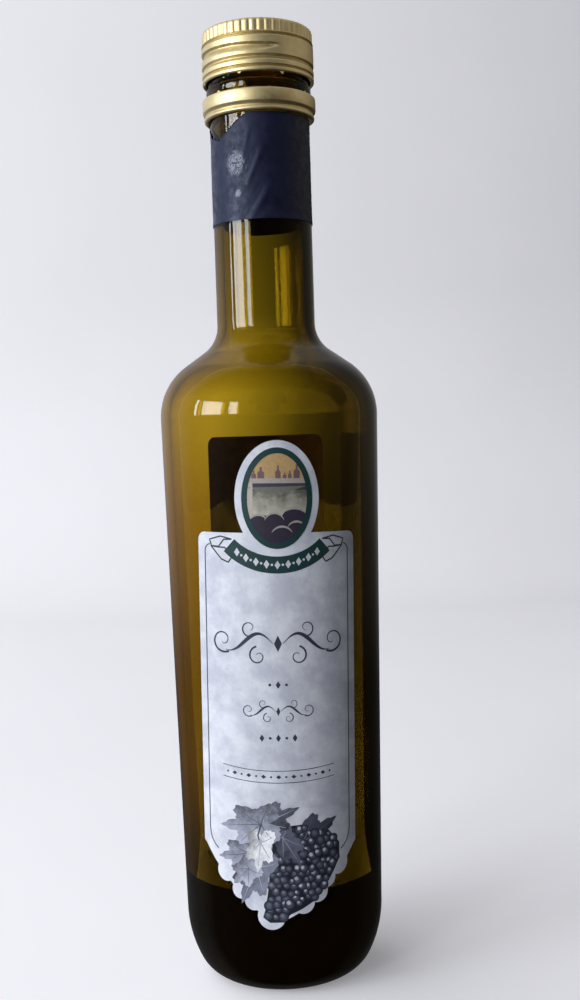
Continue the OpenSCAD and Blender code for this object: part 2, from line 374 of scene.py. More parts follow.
def sleeve_material():
    """Very dark blue film, finely crinkled."""
    n = Material("dark_film")
    n.set(Specular_IOR_Level=0.36, Specular_Tint=(0.72, 0.8, 1.0, 1), Coat_Roughness=0.2)
    n.colour(n.ramp(n.noise(140, 4), (0.3, (0.005, 0.006, 0.022)), (0.7, (0.009, 0.011, 0.038))))
    rubbed = n.near(NECK_R, -29, 248, 5.2)
    rubbed = n.math("MAXIMUM", rubbed, n.near(NECK_R, -27, 239, 1.7))
    n.set(Coat_Weight=n.math("MULTIPLY", rubbed, 0.4))
    rough = n.ramp(n.noise(500, 4), (0.35, 0.36), (0.65, 0.56))
    n.roughness(n.blend(rubbed, rough, (0.24, 0.24, 0.24)))
    fine = n.math("MULTIPLY", n.noise(1500, 5, roughness=0.7), 0.3)
    crinkle = n.math("MULTIPLY", rubbed, n.math("MULTIPLY", n.noise(620, 3), 0.9))
    fine = n.math("ADD", fine, crinkle)
    n.bump(n.math("ADD", n.noise(240, 3, stretch=(1, 1, 0.5)), fine), 0.16, 0.7)
    return n.material


def paper_material(name, pale, shade):
    """Mottled, slightly bluish label paper with a fine fibre."""
    n = Material(name)
    n.set(Specular_IOR_Level=0.12)
    clouds = n.ramp(n.noise(130, 5, roughness=0.6), (0.38, shade), (0.62, pale))
    fibre = n.ramp(n.noise(2400, 2, stretch=(1, 1, 0.4)), (0.3, 0.94), (0.7, 1.0))
    n.colour(n.blend(1.0, clouds, fibre, "MULTIPLY"))
    n.roughness(n.ramp(n.noise(700, 3), (0.3, 0.55), (0.7, 0.75)))
    n.bump(n.noise(3200, 3), 0.01, 0.5)
    return n.material


def ink_material():
    """Printed ink of any colour: the colour comes with each shape, and prints a little unevenly."""
    n = Material("printed_ink")
    n.set(Specular_IOR_Level=0.35)
    uneven = n.ramp(n.noise(900, 5, roughness=0.65), (0.3, 0.78), (0.7, 1.0))
    n.colour(n.blend(1.0, n.attribute("tint", "Color"), uneven, "MULTIPLY"))
    n.roughness(n.ramp(n.noise(600, 2), (0.3, 0.45), (0.7, 0.6)))
    n.bump(n.noise(2800, 2), 0.008, 0.4)
    return n.material


def fruit_material():
    """Engraved round fruit: dark rim, slate body and a pale highlight, placed by each disc's own
    centre."""
    n = Material("fruit_ink")
    n.set(Specular_IOR_Level=0.35, Roughness=0.5)
    across, up, tone = n.split(n.attribute("spot", "Vector"))
    radius = n.length(across, up)
    body = n.ramp(radius, (0.2, (0.105, 0.115, 0.165)), (0.7, (0.045, 0.05, 0.08)),
                  (0.98, (0.012, 0.014, 0.026)))
    glint = n.length(n.math("ADD", across, 0.22), n.math("SUBTRACT", up, 0.3))
    ragged = n.math("ADD", glint, n.math("MULTIPLY", n.noise(2600, 3), 0.5))
    light = n.ramp(ragged, (0.48, 1.0), (0.72, 0.0))
    n.colour(n.blend(n.math("MULTIPLY", light, tone), body, (0.6, 0.63, 0.7)))
    return n.material


def leaf_material():
    """Engraved leaf: a tone that fades across the leaf, with fine shading."""
    n = Material("leaf_ink")
    n.set(Specular_IOR_Level=0.35, Roughness=0.5)
    up = n.split(n.attribute("spot", "Vector"))[1]
    hatch = n.math("MULTIPLY", n.noise(420, 6, roughness=0.7), 0.9)
    fade = n.math("ADD", n.math("MULTIPLY", up, 0.5), hatch)
    shade = n.ramp(fade, (0.2, 0.3), (0.45, 0.8), (0.7, 1.2))
    n.colour(n.blend(1.0, n.attribute("tint", "Color"), shade, "MULTIPLY"))
    return n.material


def sweep_material():
    """Pale matt studio paper that also glows a little, more at the left."""
    n = Material("studio_paper")
    n.set(Specular_IOR_Level=0.1, Roughness=0.9, Emission_Strength=1.0)
    n.colour(n.ramp(n.noise(6, 2), (0.3, (0.80, 0.79, 0.80)), (0.7, (0.83, 0.82, 0.83))))
    across = n.math("ADD", n.math("MULTIPLY", n.split(n.place)[0], 0.6), 0.5)
    glow = n.ramp(across, (0.1, (0.4, 0.4, 0.43)), (0.5, (0.24, 0.24, 0.255)),
                  (0.9, (0.04, 0.038, 0.036)))
    n.set(Emission_Color=glow)
    return n.material


# ---------------- glass and vinegar
def make_glass():
    finish_z = SLEEVE_TOP + FINISH_OVER
    bead_z = RING_TOP + SEAT
    bead_top = bead_z + BEAD_H
    round_r = BEAD_H / 4
    right = pi / 2
    finish = ([(NECK_R, finish_z), (FINISH_R, finish_z + FINISH_SLOPE_H),
               (FINISH_R, bead_z - BEAD_SLOPE_H)]
              + arc(BEAD_R - round_r, bead_z + round_r, round_r, -right, 0, 6)
              + arc(BEAD_R - round_r, bead_top - round_r, round_r, 0, right, 6)
              + [(FINISH_R, bead_top + BEAD_SLOPE_H)]
              + arc(FINISH_R - LIP_R, GLASS_TOP - LIP_R, LIP_R, 0, right, 6)
              + arc(NECK_R - WALL_T + LIP_R, GLASS_TOP - LIP_R, LIP_R, right, 2 * right, 6))
    inside = floor_side(BASE_T) + body_side(WALL_T)
    rows = floor_side(0) + [(PUNT_EDGE_R, 0)] + body_side(0) + finish + inside[::-1]
    return swept("bottle_glass", rows, [glass_material()], 256, sharp=40)


def make_vinegar():
    """The vinegar reaches just into the glass, and its edge climbs the wall a little."""
    into_glass = 0.15
    climb, climb_w, steps = 0.7, 2.6, 8
    reach = WALL_T - into_glass
    side = [p for p in floor_side(BASE_T - into_glass) + body_side(reach) if p[1] < VINEGAR_Z]
    top_r = wall_r(VINEGAR_Z) - reach
    edge = [(top_r, VINEGAR_Z - 0.01)]
    surface = [(top_r - climb_w * i / steps, VINEGAR_Z - climb + climb * (1 - i / steps) ** 3)
               for i in range(1, steps + 1)]
    rows = side + edge + surface + [(0, VINEGAR_Z - climb)]
    piece = swept("vinegar_drink", rows, [vinegar_material("vinegar_by_glass", 0.08),
                                          vinegar_material("vinegar_surface", 0.2)], 128)
    for face in piece.data.polygons:
        if face.normal.z > 0.3 and face.center.z > (VINEGAR_Z - 2 * climb) * MM:
            face.material_index = 1
    return piece


# ---------------- cap and ring
FLUTES = 48
FLUTE_BAND_H = 4.2
FLUTE_BAND_IN = 0.25
FLUTE_DEPTH = 0.3
CAP_ROUND_R = 0.9
CAP_T = 1.05
# The cap's top is sunk a little inside this radius
CAP_SUNK_R = 13.4
CAP_SUNK = 0.15
# Rolled grooves: depth, then the heights of the top, the deepest line and the bottom over the rim
GROOVES = [(0.7, 4.9, 4.35, 3.2), (0.5, 2.1, 1.65, 1.1)]
# The bridges between cap and ring, all torn
BRIDGES = 8
BRIDGE_STEP = 43.5


def dip(z, top, deepest, bottom):
    """A rolled groove's depth from 0 to 1: steep above its deepest line, gentle below it."""
    if z >= deepest:
        return 1 - smooth(deepest, top, z)
    return smooth(bottom, deepest, z)


def signed_degrees(angle):
    return (math.degrees(angle) + 180) % 360 - 180


def thread_depth(angle, z):
    """The thread's groove: it starts in a point at the right of the front and climbs to the left."""
    start, turn = 25.0, 250.0
    along = (start - signed_degrees(angle)) % 360
    if along > turn:
        return 0
    rise = 0.009 * along
    widen = smooth(0, 26, along) * (1 - smooth(turn - 30, turn, along))
    top = CAP_Z + 8.1 + rise
    deepest = CAP_Z + 7.55 + rise
    bottom = deepest - mix(0.7, 2.3, widen)
    return dip(z, top, deepest, bottom) * smooth(0, 16, along) * (1 - smooth(turn - 12, turn, along))


def flute(angle):
    """Depth of the flutes from 0 to 1: narrow grooves between broad ribs."""
    return (0.5 + 0.5 * cos(angle * FLUTES)) ** 2.2


def cap_radius(angle, z):
    above = z - CAP_Z
    band_z = CAP_TOP - FLUTE_BAND_H
    if z > band_z + 0.15:
        run_out = smooth(band_z + 0.15, band_z + 0.5, z)
        return CAP_R - FLUTE_BAND_IN - FLUTE_DEPTH * flute(angle) * run_out
    depth = 0.6 * dip(z, band_z + 0.2, band_z - 0.3, band_z - 1.0)
    depth += 0.85 * thread_depth(angle, z)
    for deep, top, deepest, bottom in GROOVES:
        depth += deep * dip(above, top, deepest, bottom)
    depth += 0.3 * (1 - smooth(0, 0.35, above))
    return CAP_R - depth


def side_row(z):
    return lambda angle: (cap_radius(angle, z), z)


def edge_row(turn):
    """A row of the cap's rounded top edge; the flutes run out over it."""
    middle_r = CAP_R - FLUTE_BAND_IN - CAP_ROUND_R
    reach = CAP_ROUND_R * cos(turn)
    z = CAP_TOP - CAP_ROUND_R + CAP_ROUND_R * sin(turn)
    fade = FLUTE_DEPTH * cos(turn)
    return lambda angle: (middle_r + reach - fade * flute(angle), z)


def make_cap(metal):
    rim_to_edge = CAP_TOP - CAP_ROUND_R - CAP_Z
    steps = 96
    rows = [side_row(CAP_Z + rim_to_edge * i / steps) for i in range(steps + 1)]
    rows += [edge_row(pi / 2 * i / 6) for i in range(1, 7)]
    inner_r = CAP_R - CAP_T
    sunk_z = CAP_TOP - CAP_SUNK
    rows += [(CAP_SUNK_R + 0.8, CAP_TOP), (CAP_SUNK_R + 0.5, sunk_z + 0.03), (CAP_SUNK_R, sunk_z),
             (0, sunk_z)]
    inside = [(0, GLASS_TOP + 0.01), (inner_r - 0.6, GLASS_TOP + 0.01), (inner_r, GLASS_TOP - 0.5),
              (inner_r, CAP_Z + 0.2), (CAP_R - 0.45, CAP_Z)]
    return swept("cap_shell", rows + inside, [metal], FLUTES * 10, loop=True, sharp=50)


def make_ring(metal):
    """Plain band, a step in below it, and a rolled lip that turns in under the finish."""
    r, z, top = RING_R, RING_Z, RING_TOP
    outer = [(r - 1.3, z), (r - 0.85, z + 0.08), (r - 0.5, z + 0.4), (r - 0.42, z + 0.8),
             (r - 0.55, z + 1.2), (r - 0.95, z + 1.65), (r - 0.95, z + 1.9), (r - 0.6, z + 2.3),
             (r - 0.12, z + 2.6), (r, z + 2.9)]
    outer += [(r - inset, top - down) for down, inset in [(0.5, 0.0), (0.2, 0.08), (0.0, 0.3)]]
    inner = [(r - 0.6, top - 0.05), (r - 0.6, z + 2.9), (r - 1.3, z + 2.2), (r - 1.3, z + 0.7),
             (15.7, z + 0.6), (15.65, z + 0.1)]
    rows = [uneven_row(point) for point in outer + inner]
    return swept("ring_band", rows, [metal], 256, loop=True, sharp=50)


def uneven_row(point):
    """A ring row that wanders by a few hundredths, as metal torn loose does."""
    r, z = point

    def at(angle):
        spot = Vector((cos(angle) * 1.6, sin(angle) * 1.6, 3.0))
        lift = 0.05 * noise.noise(spot)
        return r + 0.4 * lift, z + lift * smooth(RING_Z, RING_Z + 3, z)
    return at


def tooth(verts, faces, angle, z, length, width, radius):
    """A torn bridge: a small tongue that narrows to its tip and leans out."""
    thick = 0.22
    first = len(verts)
    levels = [(0, 1.0, 0.0), (0.35, 0.9, 0.02), (0.7, 0.6, 0.08), (1.0, 0.25, 0.2)]
    for share, narrow, out in levels:
        for side, depth in ((-1, 0), (1, 0), (1, -thick), (-1, -thick)):
            r = radius + out * abs(length) + depth * mix(1, 0.6, share)
            a = angle + side * narrow * width / 2 / radius
            verts.append(round_axis(r, a, z + length * share))
    faces.append([first + 3, first + 2, first + 1, first])
    for level in range(len(levels) - 1):
        base = first + 4 * level
        for side in range(4):
            nxt = (side + 1) % 4
            faces.append([base + side, base + nxt, base + nxt + 4, base + side + 4])
    top = first + 4 * (len(levels) - 1)
    faces.append([top, top + 1, top + 2, top + 3])


def make_teeth(metal):
    """What is left of the bridges: tongues under the cap's rim and stubs on the ring."""
    verts, faces = [], []
    rng = random.Random(4)
    for i in range(BRIDGES):
        wander = radians(rng.uniform(-2, 2))
        hang = -18 + BRIDGE_STEP * i
        tooth(verts, faces, radians(hang) + wander, CAP_Z + 0.15,
              -rng.uniform(0.7, 1.0), rng.uniform(1.0, 1.4), CAP_R - 0.3)
        stub = 12 + BRIDGE_STEP * i
        tooth(verts, faces, radians(stub) + wander, RING_TOP - 0.15,
              rng.uniform(0.35, 0.6), rng.uniform(0.9, 1.3), RING_R - 0.32)
    return link("torn_bridges", new_mesh("torn_bridges", verts, faces), [metal], sharp=40)


# ---------------- neck sleeve
def tear_drop(degrees):
    """How far the torn upper edge lies below the ring, by angle from the front."""
    left = smooth(-104, -56, degrees)
    right = 1 - smooth(-56, -9, degrees)
    steps = 0.55 * noise.noise(Vector((degrees * 0.16, 0, 0)))
    steps += 0.25 * noise.noise(Vector((degrees * 0.6, 5, 0)))
    depth = left * right
    return depth * (6.6 + 1.6 * steps) if depth > 0 else 0


def crease(degrees, z, a0, z0, a1, z1, width):
    """A soft fold along the line between two points: a ridge with a hollow beside it."""
    x, x0, x1 = (radians(v) * NECK_R for v in (degrees, a0, a1))
    dx, dz = x1 - x0, z1 - z0
    length = hypot(dx, dz)
    along = ((x - x0) * dx + (z - z0) * dz) / length ** 2
    beside = ((x - x0) * dz - (z - z0) * dx) / length
    if not -0.1 < along < 1.1:
        return 0
    ends = smooth(-0.1, 0.25, along) * (1 - smooth(0.7, 1.1, along))
    hollow = 0.6 * exp(-((beside - width * 1.5) / width) ** 2)
    return ends * (exp(-(beside / width) ** 2) - hollow)


# Folds in the film: rise, angle and height of each end, and width
CREASES = [(0.24, 2, 252, -19, 240, 1.0), (0.2, 10, 241, -17, 229.5, 1.2),
           (0.14, -12, 258, -24, 246, 0.8), (0.16, 150, 256, 120, 238, 1.1),
           (0.16, -130, 252, -150, 236, 1.1)]


def sleeve_bulge(angle, z):
    """How far the film stands off the neck at a place."""
    degrees = signed_degrees(angle)
    spot = Vector((sin(angle) * NECK_R, cos(angle) * NECK_R, z))
    bulge = 0.07 * noise.noise(spot * 0.12) + 0.05 * noise.noise(spot * 0.35)
    for rise, *line in CREASES:
        bulge += rise * crease(degrees, z, *line)
    patch = exp(-((degrees + 29) / 9) ** 2 - ((z - 248) / 5) ** 2)
    bulge += patch * (0.1 * noise.noise(spot * 1.1) + 0.16 * noise.noise(spot * 2.3))
    flare = smooth(SLEEVE_Z + 2.2, SLEEVE_Z, z)
    return bulge + 0.16 * flare * (0.6 + noise.noise(spot * 0.2))


def sleeve_row(share, lift):
    """A row of the film at a share of its height; lift is its distance off the glass."""
    def at(angle):
        degrees = signed_degrees(angle)
        bottom = SLEEVE_Z + 0.12 * noise.noise(Vector((cos(angle) * 2, sin(angle) * 2, 1)))
        top = SLEEVE_TOP - tear_drop(degrees)
        z = mix(bottom, top, share)
        edge = smooth(0.985, 1.0, share) * smooth(0, 3, SLEEVE_TOP - top)
        room = min(1.0, max(0.1, (RING_Z - z) / 1.5))
        bulge = max(-0.02, 0.06 + sleeve_bulge(angle, z) * room + 0.12 * edge)
        return NECK_R + lift + bulge, z
    return at


def make_sleeve():
    film_t = 0.12
    steps = 110
    rows = [sleeve_row(i / steps, film_t) for i in range(steps + 1)]
    rows += [sleeve_row(1 - i / steps, 0) for i in range(steps + 1)]
    return swept("sleeve_film", rows, [sleeve_material()], 420, loop=True, sharp=70)


# ---------------- labels
def leaned(p):
    """A point of the flat front label, turned by its lean about the label's middle."""
    z = (LABEL_Z0 + LABEL_Z1) / 2
    c, s = cos(LABEL_LEAN), sin(LABEL_LEAN)
    return p[0] * c + (p[1] - z) * s, z + (p[1] - z) * c - p[0] * s


def front_place(p, out):
    """A leaned point at a height over the glass, bent round the front."""
    r = wall_r(p[1])
    return Vector(((r + out) * sin(p[0] / r), -(r + out) * cos(p[0] / r), p[1])) * MM


def back_place(p, out):
    r = wall_r(p[1])
    angle = p[0] / r + BACK_TURN
    return Vector((-(r + out) * sin(angle), (r + out) * cos(angle), p[1])) * MM


def ellipse(x, z, rx, rz, steps=64):
    angles = [2 * pi * i / steps for i in range(steps)]
    return [(x + rx * cos(a), z + rz * sin(a)) for a in angles]


def closed(path):
    return path + path[:1]


def rounded(half_w, z0, z1, r0, r1):
    right = pi / 2
    return (arc(half_w - r1, z1 - r1, r1, 0, right, 8)
            + arc(r1 - half_w, z1 - r1, r1, right, 2 * right, 8)
            + arc(r0 - half_w, z0 + r0, r0, 2 * right, 3 * right, 8)
            + arc(half_w - r0, z0 + r0, r0, 3 * right, 4 * right, 8))


def front_outlines():
    half_w = LABEL_W / 2
    skirt = [(-half_w, 1.0)] + BUNCH + [(half_w, 1.0)]
    shapes = [rounded(half_w, LABEL_Z0, LABEL_Z1, LABEL_FOOT_R, LABEL_CORNER_R),
              ellipse(0, OVAL_Z, OVAL_W / 2, OVAL_H / 2, 80),
              [(x, LABEL_Z0 + z) for x, z in skirt]]
    shapes += [ellipse(x, LABEL_Z0 + z, r, r, 32) for x, z, r in LOBES]
    return [[leaned(p) for p in shape] for shape in shapes]


def prism(outline):
    """A flat outline as a plate one unit thick, in a space of across, thickness and height."""
    bm = bmesh.new()
    near = [bm.verts.new((x, 0, z)) for x, z in outline]
    far = [bm.verts.new((x, 1, z)) for x, z in outline]
    bm.faces.new(near)
    bm.faces.new(far[::-1])
    for i in range(len(outline)):
        j = (i + 1) % len(outline)
        bm.faces.new((near[j], near[i], far[i], far[j]))
    bmesh.ops.recalc_face_normals(bm, faces=bm.faces)
    mesh = bpy.data.meshes.new("plate")
    bm.to_mesh(mesh)
    bm.free()
    return added("plate", mesh)


def joined(outlines):
    """One mesh of all the plates, with their walls inside each other taken out."""
    plates = [prism(outline) for outline in outlines]
    whole = plates[0]
    for plate in plates[1:]:
        union = whole.modifiers.new("join", "BOOLEAN")
        union.operation = "UNION"
        union.solver = "EXACT"
        union.object = plate
    graph = bpy.context.evaluated_depsgraph_get()
    mesh = bpy.data.meshes.new_from_object(whole.evaluated_get(graph))
    for plate in plates:
        bpy.data.objects.remove(plate)
    return mesh


def cut_to_bend(bm):
    """Cuts a flat mesh along upright lines, so that it can follow the round glass."""
    places = [v.co.x for v in bm.verts]
    if not places:
        return
    line = math.floor(min(places) / BEND_STEP) + 1
    while line * BEND_STEP < max(places) - 1e-4:
        geometry = bm.verts[:] + bm.edges[:] + bm.faces[:]
        bmesh.ops.bisect_plane(bm, geom=geometry, plane_co=(line * BEND_STEP, 0, 0), plane_no=(1, 0, 0),
                               dist=1e-5)
        line += 1


def make_label(name, outlines, place, material, inner):
    """A label with its thickness, bent round the glass and set a little into it."""
    flat = joined(outlines)
    bm = bmesh.new()
    bm.from_mesh(flat)
    bmesh.ops.triangulate(bm, faces=bm.faces)
    cut_to_bend(bm)
    for v in bm.verts:
        out = -SET_IN if v.co.y < 0.5 else PAPER_T
        v.co = place((v.co.x, v.co.z), out)
    mesh = bpy.data.meshes.new(name)
    bm.to_mesh(mesh)
    bm.free()
    piece = link(name, mesh, [material, inner], sharp=30)
    for face in piece.data.polygons:
        middle = face.center / MM
        if hypot(middle.x, middle.y) < wall_r(middle.z) - SET_IN / 2:
            face.material_index = 1
    return piece


class Print:
    """Shapes printed on a label, each at its own small height, gathered into one mesh."""

    def __init__(self, name, turn, place):
        self.name, self.turn, self.place = name, turn, place
        self.verts, self.faces, self.slots, self.tints, self.spots = [], [], [], [], []

    def add(self, point, level, tint, spot=(0, 0, 0)):
        """Takes up a leaned point of the flat label at a level over the paper."""
        self.verts.append(self.place(point, PAPER_T + LAYER * level))
        self.tints.append((*tint, 1))
        self.spots.append(spot)

    def shape(self, outline, level, tint, slot=0, spot=None):
        """A filled outline; spot gives a shape's own coordinates at a point of the flat label."""
        bm = bmesh.new()
        corners = [bm.verts.new((x, 0, z)) for x, z in outline]
        for triangle in tessellate_polygon([[Vector((x, z, 0)) for x, z in outline]]):
            bm.faces.new([corners[i] for i in triangle])
        own = bm.verts.layers.float_vector.new("own")
        for v in bm.verts:
            v[own] = spot((v.co.x, v.co.z)) if spot else (0, 0, 0)
            x, z = self.turn((v.co.x, v.co.z))
            v.co = (x, 0, z)
        cut_to_bend(bm)
        first = len(self.verts)
        bm.verts.index_update()
        for v in bm.verts:
            self.add((v.co.x, v.co.z), level, tint, tuple(v[own]))
        for face in bm.faces:
            self.faces.append([first + v.index for v in face.verts])
            self.slots.append(slot)
        bm.free()

    def line(self, points, width, level, tint, slot=0):
        """A stroke along points; width is a number or a function of the share of its length."""
        first = len(self.verts)
        count = len(points)
        for i, p in enumerate(points):
            before, after = points[max(0, i - 1)], points[min(count - 1, i + 1)]
            along = Vector((after[0] - before[0], after[1] - before[1])).normalized()
            half = (width(i / (count - 1)) if callable(width) else width) / 2
            for side in (-1, 1):
                q = self.turn((p[0] - along.y * half * side, p[1] + along.x * half * side))
                self.add(q, level, tint)
        for i in range(count - 1):
            a = first + 2 * i
            self.faces.append([a, a + 1, a + 3, a + 2])
            self.slots.append(slot)

    def build(self, materials):
        mesh = new_mesh(self.name, self.verts, self.faces)
        tint = mesh.attributes.new("tint", "FLOAT_COLOR", "POINT")
        tint.data.foreach_set("color", [c for t in self.tints for c in t])
        spot = mesh.attributes.new("spot", "FLOAT_VECTOR", "POINT")
        spot.data.foreach_set("vector", [c for s in self.spots for c in s])
        mesh.polygons.foreach_set("material_index", self.slots)
        for material in materials:
            mesh.materials.append(material)
        self.face_out(mesh)
        mesh.shade_smooth()
        return added(self.name, mesh)

    def face_out(self, mesh):
        """Turns each face's front away from the axis."""
        bm = bmesh.new()
        bm.from_mesh(mesh)
        bm.normal_update()
        inward = [f for f in bm.faces if f.normal.x * f.calc_center_median().x
                  + f.normal.y * f.calc_center_median().y < 0]
        bmesh.ops.reverse_faces(bm, faces=inward)
        bm.to_mesh(mesh)
        bm.free()


# Ink colours
GREEN = (0.012, 0.052, 0.052)
SLATE = (0.045, 0.05, 0.085)
DARK = (0.016, 0.018, 0.03)
WHITE = (0.72, 0.74, 0.8)
PEACH = (0.56, 0.37, 0.165)
CREAM = (0.55, 0.5, 0.42)
PLUM = (0.032, 0.026, 0.05)
SHELF = (0.46, 0.42, 0.38)
BORDER = (0.05, 0.085, 0.09)
# Width of the thin border line on both labels
BORDER_W = 0.34


def oval_band(z0, z1, rx, rz, steps=14):
    """The part of an ellipse about the oval's middle that lies between two heights."""
    def half(z):
        return rx * sqrt(max(0.0, 1 - ((z - OVAL_Z) / rz) ** 2))
    heights = [mix(z0, z1, i / steps) for i in range(steps + 1)]
    right = [(half(z), z) for z in heights if half(z) > 0.05]
    left = [(-x, z) for x, z in right[::-1]]
    return right + left


def arc_band(z, r0, r1, half_angle, steps=28):
    """A band that hangs like a smile below a centre."""
    angles = [mix(-half_angle, half_angle, i / steps) for i in range(steps + 1)]
    outer = [(r1 * sin(a), z - r1 * cos(a)) for a in angles]
    inner = [(r0 * sin(a), z - r0 * cos(a)) for a in angles]
    return outer + inner[::-1]


def bottle_shape(x, z, h, w):
    """A small bottle standing on a shelf."""
    half, neck = w / 2, w / 6
    right = [(half, 0), (half, 0.5 * h), (neck, 0.68 * h), (neck, h)]
    return [(x + a, z + b) for a, b in right] + [(x - a, z + b) for a, b in right[::-1]]


# Half width and half height of the oval's picture
PICTURE_RX = 9.3
PICTURE_RZ = 13.4
# Small bottles on the shelf (place, height, width), and casks, back to front (place, half sizes)
BOTTLES = [(-4.6, 3.3, 1.9), (-6.6, 2.2, 1.3), (0.3, 3.7, 1.5), (2.2, 1.6, 1.1), (3.7, 2.2, 1.0),
           (5.7, 3.9, 1.8)]
CASKS = [(-5.4, -8.2, 3.0, 3.4), (4.9, -5.6, 3.5, 2.6), (-0.8, -8.2, 3.2, 3.9),
         (5.6, -9.6, 2.9, 2.8), (1.4, -11.4, 3.3, 3.2)]


def cellar_picture(p):
    """The oval's picture: a lit arch with small bottles on a shelf over a dim row of casks. Heights
    are from the oval's middle."""
    def band(low_z, high_z, level, tint, *look):
        p.shape(oval_band(OVAL_Z + low_z, OVAL_Z + high_z, PICTURE_RX, PICTURE_RZ), level, tint, *look)

    def patch(corners, tint):
        p.shape([(x, OVAL_Z + z) for x, z in corners], 3, tint)

    band(-PICTURE_RZ, -4.0, 1, PLUM)
    band(-5.0, 4.2, 1.5, (0.42, 0.41, 0.34), 2, lambda q: (0, (OVAL_Z - 1.5 - q[1]) / 8, 0))
    band(2.2, 4.3, 2, (0.07, 0.06, 0.09))
    band(4.2, 5.7, 3, SHELF)
    band(5.6, PICTURE_RZ, 2, PEACH)
    patch([(-8.6, -7.5), (-7.0, -7.5), (-7.0, 4.6), (-8.6, 4.6)], CREAM)
    patch([(-8.4, 3.0), (8.4, 3.4), (3.0, 1.6), (-3.5, 1.2)], (0.2, 0.2, 0.17))
    for x, h, w in BOTTLES:
        p.shape(bottle_shape(x, OVAL_Z + 5.6, h, w), 4, (0.2, 0.12, 0.13))
    for i, (x, z, rx, rz) in enumerate(CASKS):
        cask(p, x, OVAL_Z + z, rx, rz, 3.5 + 0.8 * i)


def in_oval(q):
    """The point itself, or drawn back to the picture's edge when it lies outside it."""
    over = hypot(q[0] / (PICTURE_RX - 0.1), (q[1] - OVAL_Z) / (PICTURE_RZ - 0.1))
    return (q[0] / over, OVAL_Z + (q[1] - OVAL_Z) / over) if over > 1 else q


def cask(p, x, z, rx, rz, level):
    """A cask seen from its end: dark head inside a pale rim that is lit from above."""
    angles = [radians(mix(28, 152, i / 14)) for i in range(15)]
    p.shape([in_oval(q) for q in ellipse(x, z, rx, rz, 28)], level, (0.036, 0.028, 0.052))
    p.line([in_oval((x + rx * cos(a), z + rz * sin(a))) for a in angles],
           lambda t: 0.1 + 0.52 * sin(pi * t), level + 0.5, (0.4, 0.385, 0.35))


def ring_strip(p, z, rx, rz, width, level, steps):
    """A green line round an oval."""
    p.line(closed(ellipse(0, z, rx, rz, steps)), width, level, GREEN)


def dot(p, x, z, r, level, tint, steps=12):
    p.shape(ellipse(x, z, r, r, steps), level, tint)


def lozenge(p, x, z, rx, rz, level, tint):
    p.shape([(x - rx, z), (x, z - rz), (x + rx, z), (x, z + rz)], level, tint)


def banner(p):
    """A hanging ribbon with folded ends; its place for words holds a row of lozenges and dots."""
    centre, r0, r1 = OVAL_Z + 1.6, 18.4, 23.3
    p.shape(arc_band(centre, r0, r1, radians(43)), 4, GREEN)
    middle = (r0 + r1) / 2
    for i in range(-4, 5):
        a = radians(8.6 * i)
        lozenge(p, middle * sin(a), centre - middle * cos(a), 0.85, 1.25, 5, WHITE)
        b = a + radians(4.3)
        if i < 4:
            dot(p, middle * sin(b), centre - middle * cos(b), 0.36, 5, WHITE)
    fold = [(13.1, 6.6), (14.5, 8.6), (16.7, 7.7), (20.2, 4.0), (17.4, 4.3), (15.6, 4.3)]
    tail = [(13.4, 1.9), (15.9, 2.0), (17.6, 4.1), (20.0, 4.0), (20.7, 2.1), (17.0, 1.1)]
    for side in (-1, 1):
        for outline, level in ((tail, 2), (fold, 3)):
            placed = [(x * side, LABEL_Z1 - down) for x, down in outline]
            p.shape(placed, level, WHITE)
            p.line(stepped(closed(placed), 0.5), 0.42, level + 0.5, GREEN)


def stepped(points, step):
    """The same path with more points on it, no more than a step apart."""
    path = [points[0]]
    for a, b in zip(points, points[1:]):
        count = max(1, math.ceil(math.dist(a, b) / step))
        path += [(mix(a[0], b[0], i / count), mix(a[1], b[1], i / count)) for i in range(1, count + 1)]
    return path


def border(p):
    """Thin line inside the label's edge, curling into the ribbon above and towards the leaves below."""
    x, z_top, z_low = 22.4, LABEL_Z1 - 5.5, LABEL_Z0 + 3.0
    for side in (-1, 1):
        top = arc(20.3, z_top, 2.1, 0, radians(80), 8)
        foot = [(x - 0.3, z_low), (x - 1.0, z_low - 1.7), (x - 2.2, z_low - 3.1), (x - 3.2, z_low - 3.9)]
        path = top[::-1] + [(x, z_low + 2.0)] + foot
        p.line(stepped([(a * side, b) for a, b in path], 0.7), BORDER_W, 3, BORDER)


def double_rule(p, z):
    """Two thin hanging lines, the upper one at the height given, with a row of dots between them."""
    def hung(x):
        return z + 1.3 * (x / 17.3) ** 2
    for drop in (0, 3.5):
        p.line([(x / 2, hung(x / 2) - drop) for x in range(-34, 35)], 0.2, 3, SLATE)
    for i in range(-7, 8):
        x = 2.2 * i
        if i % 2:
            dot(p, x, hung(x) - 1.75, 0.32, 3, SLATE, 10)
        else:
            lozenge(p, x, hung(x) - 1.75, 0.75, 0.6, 3, SLATE)


def curl(x, z, r, turn0, turns, shrink, side, steps=40):
    """A spiral that starts at a point's distance r and winds in."""
    path = []
    for i in range(steps + 1):
        t = i / steps
        a = turn0 + turns * 2 * pi * t
        radius = r * (1 - shrink * t)
        path.append(((x + radius * cos(a)) * side, z + radius * sin(a)))
    return path


# Scrolls of a flourish: place, radius, first angle, turns, shrink, and thickness at start and end
SCROLLS = [(13.2, 0.6, 3.0, -120, 1.15, 0.8, 0.5, 0.12), (4.6, -2.9, 2.3, 80, -1.1, 0.8, 0.42, 0.12),
           (6.6, 3.6, 2.0, -90, 0.95, 0.75, 0.36, 0.1)]


